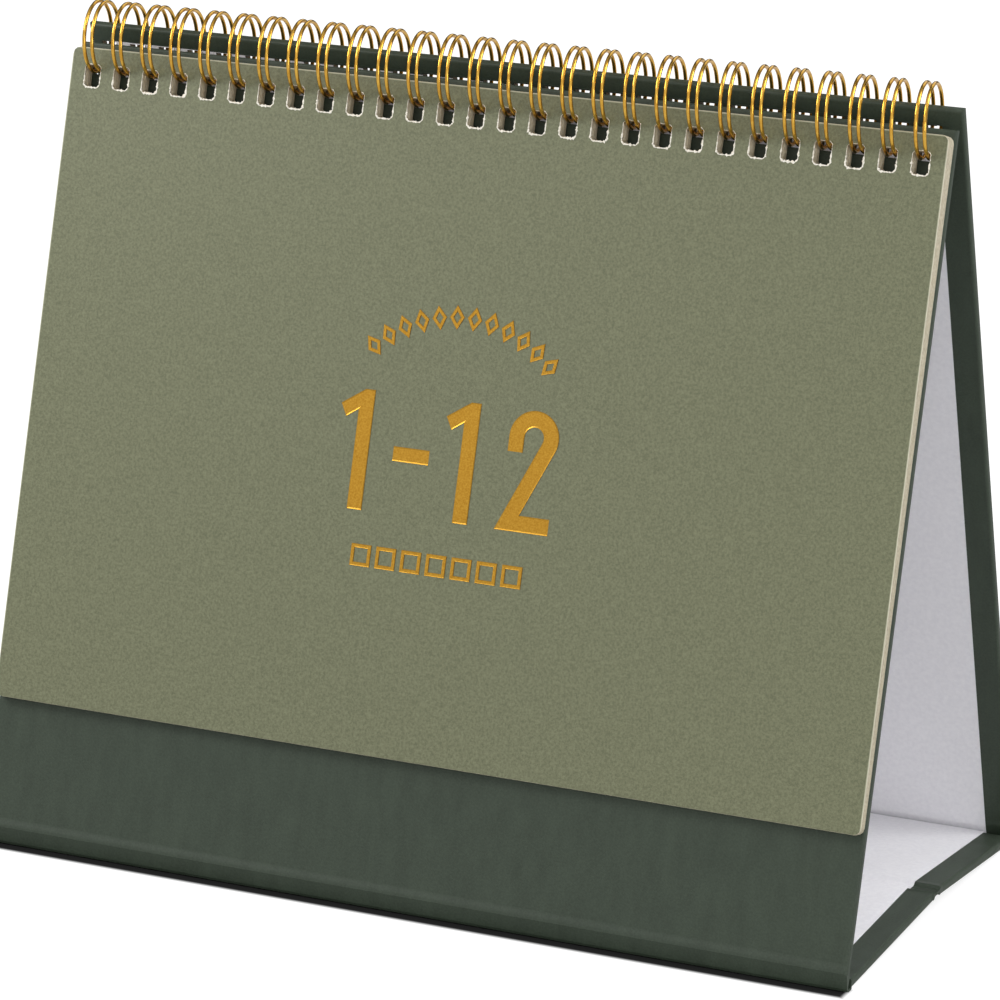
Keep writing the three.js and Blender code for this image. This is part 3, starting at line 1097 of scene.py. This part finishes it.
    def two(self, x: float) -> None:
        """Adds the numeral two: a bow on a circle, a slanting stem and a foot.

        Args:
            x: The bow's middle along the width.
        """
        radius = self.bow_radius
        half = self.digit_stroke / 2
        centre = self.digit_base + self.digit_height - half - radius
        turn = np.radians(np.linspace(180, self.bow_end, self.bow_points))
        bow = np.stack([x + radius * np.cos(turn), centre + radius * np.sin(turn)], axis=1)
        foot = self.digit_base + half
        tail = np.array([[x - radius, foot], [x + radius + half, foot]])
        start = np.array([[x - radius, centre - self.bow_drop]])
        self.stroke(np.vstack([start, bow, tail]), self.digit_stroke, False)

    def build(self) -> bpy.types.Object:
        """Sets the whole design out and makes its mesh.

        The marks stand at even angles on a circle, and the boxes at even steps on a line.

        Returns:
            The foil's object.
        """
        for place in self.ones:
            self.one(place)
        middle = self.digit_base + self.digit_height / 2
        dash = np.array([[place, middle] for place in self.dash])
        self.stroke(dash, self.digit_stroke * self.dash_stroke, False)
        for place in self.twos:
            self.two(place)
        centre = self.arc_top - self.arc_radius
        angles = np.linspace(-self.arc_half_angle, self.arc_half_angle, self.mark_count)
        for angle in np.radians(angles):
            radial = np.array([math.sin(angle), math.cos(angle)])
            along = np.array([math.cos(angle), -math.sin(angle)])
            middle = np.array([0.0, centre]) + radial * self.arc_radius
            lozenge = np.array([radial * self.mark_height, along * self.mark_width,
                                -radial * self.mark_height, -along * self.mark_width])
            self.stroke(middle + lozenge, self.mark_stroke, True)
        side = self.box_half_width
        box = np.array([[-side, 0], [-side, self.box_height], [side, self.box_height], [side, 0]])
        for place in np.linspace(-self.box_spread, self.box_spread, self.box_count):
            self.stroke(box + np.array([place, self.box_base]), self.box_stroke, True)
        piece = new_piece("foil_print", np.concatenate(self.vertices), self.faces, False)
        recalculate_normals(piece)
        return piece


@dataclass
class Calendar:
    """The whole object: the carried-over solids with their finishes, and the new pieces."""

    board_nodes: tuple = ("front_board", "back_board", "base_front_board", "base_rear_board")

    def dress(self) -> None:
        """Builds every piece in order, rides it on the stand and reports it."""
        green_paper = CoveringPaper().build()
        finishes = {
            "cover_paper": green_paper,
            "liner_sheet": LiningPaper().build(),
            "front_cover": PearlCard().build(),
        }
        board = RecycledBoard().build()
        for name in self.board_nodes:
            finishes[name] = board
        for name, material in finishes.items():
            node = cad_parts[name]
            node.data.materials.clear()
            node.data.materials.append(material)
            log.info("dressed %s", name)
        self.add(BindingWire().build(), WIRE_GOLD.build(), Slot.GOLD_WIRE)
        self.add(MonthSheets().build(), MonthPaper().build(), Slot.CREAM_PAPER)
        # Dark paper plates in the front holes: painted shade for the holes' inside.
        self.add(HoleShadePlates().build(), green_paper, Slot.GREEN_PAPER)
        self.add(HoleRims().build(), TornFibre().build(), Slot.CREAM_PAPER)
        self.add(FoilPrint().build(), FOIL_GOLD.build(), Slot.GOLD_WIRE)

    def add(self, piece: bpy.types.Object, material: bpy.types.Material, slot: Slot) -> None:
        """Finishes a new piece and lets it ride on the stand.

        Args:
            piece: The piece's object.
            material: Its finish.
            slot: The record's slot. It is not used.
        """
        piece.data.materials.append(material)
        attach(piece, ROOT_BODY)
        log.info("made %s with %d faces", piece.name, len(piece.data.polygons))


@dataclass(frozen=True)
class Lamp:
    """A square soft lamp that looks at the middle of the calendar.

    Attributes:
        name: Its name.
        place: Where it stands, in metres.
        size: The length of its side, in metres.
        power: Its power, in watts.
    """

    name: str
    place: tuple
    size: float
    power: float

    def add(self, world_matrix: Matrix) -> None:
        """Adds the lamp to the scene.

        Args:
            world_matrix: Where it stands and where it looks.
        """
        data = bpy.data.lights.new(self.name, "AREA")
        data.size = self.size
        data.energy = self.power
        lamp = bpy.data.objects.new(self.name, data)
        bpy.context.scene.collection.objects.link(lamp)
        lamp.matrix_world = world_matrix


@dataclass
class Studio:
    """The camera, the lamps, the pale floor and the white surroundings."""

    lamps: tuple = (
        Lamp("key", (-0.46, -0.34, 0.55), 0.3, 2.1),
        Lamp("side", (0.5, -0.35, 0.14), 0.2, 0.6),
        Lamp("high_side", (0.45, 0.1, 0.5), 0.2, 1.1),
        Lamp("back", (0.2, 1.6, 1.2), 1.4, 6),
    )
    lamp_aim: tuple = (0.0, 0.0, 0.1)
    camera_place: tuple = (0.52873, -1.13646, 0.45587)
    camera_aim: tuple = (0.00856, -0.020, 0.0996)
    camera_roll: float = 0.534
    lens: float = 182.71
    sensor: float = 36.0
    even_light: float = 0.82
    horizon_glow: float = 0.12
    bright_side: tuple = (0.1, -0.8, 0.6)
    dim_limit: float = 0.05
    bright_limit: float = 0.8
    floor_half_size: float = 4.0
    # Painted contact shadow: the floor's colour and glow drop in a strip along the stand's front
    # and back edges.
    floor_painted_shadow: float = 0.02
    floor_pale: float = 0.32
    floor_glow: float = 0.8
    floor_glow_mirrored: float = 0.4
    painted_shadow_inset: float = 1.5 * MM
    painted_shadow_overrun: float = 1.0 * MM
    painted_shadow_start: float = 1.9 * MM
    painted_shadow_end: float = 4.0 * MM

    def build(self) -> None:
        """Sets the whole studio up."""
        bpy.context.scene.view_settings.view_transform = "Standard"
        self.add_camera()
        for lamp in self.lamps:
            lamp.add(self.basis(np.array(lamp.place), np.array(self.lamp_aim), 0))
        self.add_floor()
        self.light_world()

    def basis(self, place: np.ndarray, aim: np.ndarray, roll: float) -> Matrix:
        """Makes the matrix of something that looks along its own -Z from a place to an aim.

        Args:
            place: Where it stands.
            aim: What it looks at.
            roll: Its turn about the line of sight, in degrees.

        Returns:
            A world matrix.
        """
        forward = (aim - place) / np.linalg.norm(aim - place)
        level = np.cross(forward, [0.0, 0.0, 1.0])
        level /= np.linalg.norm(level)
        upright = np.cross(level, forward)
        angle = math.radians(roll)
        right = math.cos(angle) * level + math.sin(angle) * upright
        up = math.cos(angle) * upright - math.sin(angle) * level
        matrix = np.eye(4)
        matrix[:3, 0] = right
        matrix[:3, 1] = up
        matrix[:3, 2] = -forward
        matrix[:3, 3] = place
        return Matrix(matrix.tolist())

    def add_camera(self) -> None:
        """Adds the camera at the photograph's viewing angle."""
        data = bpy.data.cameras.new("camera")
        data.lens = self.lens
        data.sensor_width = self.sensor
        camera = bpy.data.objects.new("camera", data)
        bpy.context.scene.collection.objects.link(camera)
        place = np.array(self.camera_place)
        camera.matrix_world = self.basis(place, np.array(self.camera_aim), self.camera_roll)
        bpy.context.scene.camera = camera

    def add_floor(self) -> None:
        """Adds the pale floor, which glows white to the camera.

        A painted shadow keeps it dark and without glow in a strip along the stand's front and back
        edges, where it touches.
        """
        corners = np.array([[-1, -1, 0], [1, -1, 0], [1, 1, 0], [-1, 1, 0]]) * self.floor_half_size
        floor = new_piece("floor", corners, [[0, 1, 2, 3]], False)
        sheet = NodeSheet("floor")
        sheet.set(roughness=0.9, specular_ior_level=0.0, emission_color=(1, 1, 1, 1))
        light_path = sheet.node("ShaderNodeLightPath")
        seen = sheet.math("MULTIPLY", light_path.outputs["Is Camera Ray"], self.floor_glow)
        glossy = light_path.outputs["Is Glossy Ray"]
        mirrored = sheet.math("MULTIPLY", glossy, self.floor_glow_mirrored)
        # Painted shadow: the floor is near black and without glow in a strip along the stand's
        # front and back edges.
        beside = sheet.math("ABSOLUTE", sheet.along(ACROSS, 0.0))
        middle = (FRONT.edge_y + BACK.edge_y) / 2
        before = sheet.math("ABSOLUTE", sheet.along(DEEP, middle))
        shadow_strip_end = SIZES.case_width / 2 + self.painted_shadow_overrun - self.painted_shadow_end
        shadow_strip_line = SIZES.depth / 2 - self.painted_shadow_inset
        outside = sheet.math(
            "MAXIMUM",
            sheet.math("SUBTRACT", beside, shadow_strip_end),
            sheet.math("ABSOLUTE", sheet.math("SUBTRACT", before, shadow_strip_line)),
        )
        unshadowed_floor = sheet.smooth(outside, self.painted_shadow_start, self.painted_shadow_end)
        rise = sheet.math("MULTIPLY", unshadowed_floor, self.floor_pale - self.floor_painted_shadow)
        sheet.colour(sheet.math("ADD", rise, self.floor_painted_shadow))
        glow = sheet.math("MULTIPLY", sheet.math("ADD", seen, mirrored), unshadowed_floor)
        sheet.link(glow, sheet.shader.inputs["Emission Strength"])
        floor.data.materials.append(sheet.material)

    def light_world(self) -> None:
        """Gives even light, plain white behind the object and a dim horizon in reflections."""
        world = bpy.data.worlds.new("studio")
        bpy.context.scene.world = world
        world.use_nodes = True
        tree = world.node_tree
        background = tree.nodes["Background"]
        background.inputs["Color"].default_value = (1, 1, 1, 1)
        light_path = tree.nodes.new("ShaderNodeLightPath")
        direction = tree.nodes.new("ShaderNodeTexCoord")
        front = tree.nodes.new("ShaderNodeVectorMath")
        front.operation = "DOT_PRODUCT"
        front.inputs[1].default_value = self.bright_side
        tree.links.new(direction.outputs["Generated"], front.inputs[0])
        mirrored = tree.nodes.new("ShaderNodeMapRange")
        mirrored.inputs["From Min"].default_value = self.dim_limit
        mirrored.inputs["From Max"].default_value = self.bright_limit
        mirrored.inputs["To Min"].default_value = self.horizon_glow
        mirrored.inputs["To Max"].default_value = 1.0
        tree.links.new(front.outputs["Value"], mirrored.inputs["Value"])
        glossy = light_path.outputs["Is Glossy Ray"]
        strength = self.choose(tree, glossy, mirrored.outputs["Result"])
        strength.inputs["A"].default_value = self.even_light
        shown = self.choose(tree, light_path.outputs["Is Camera Ray"], None)
        shown.inputs["B"].default_value = 1.0
        tree.links.new(strength.outputs["Result"], shown.inputs["A"])
        tree.links.new(shown.outputs["Result"], background.inputs["Strength"])

    def choose(self, tree: bpy.types.NodeTree, share: bpy.types.NodeSocket,
               second: bpy.types.NodeSocket | None) -> bpy.types.Node:
        """Adds a node that gives its value A, or B where the share is 1.

        Args:
            tree: The node tree.
            share: The share's socket.
            second: The socket of value B, or None where B is set as a number later.

        Returns:
            The new node.
        """
        mix = tree.nodes.new("ShaderNodeMix")
        tree.links.new(share, mix.inputs["Factor"])
        if second is not None:
            tree.links.new(second, mix.inputs["B"])
        return mix


def main() -> None:
    """Builds the studio and the calendar."""
    logging.basicConfig(level=logging.INFO)
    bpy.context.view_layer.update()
    Studio().build()
    Calendar().dress()


if __name__ == "__main__":
    main()
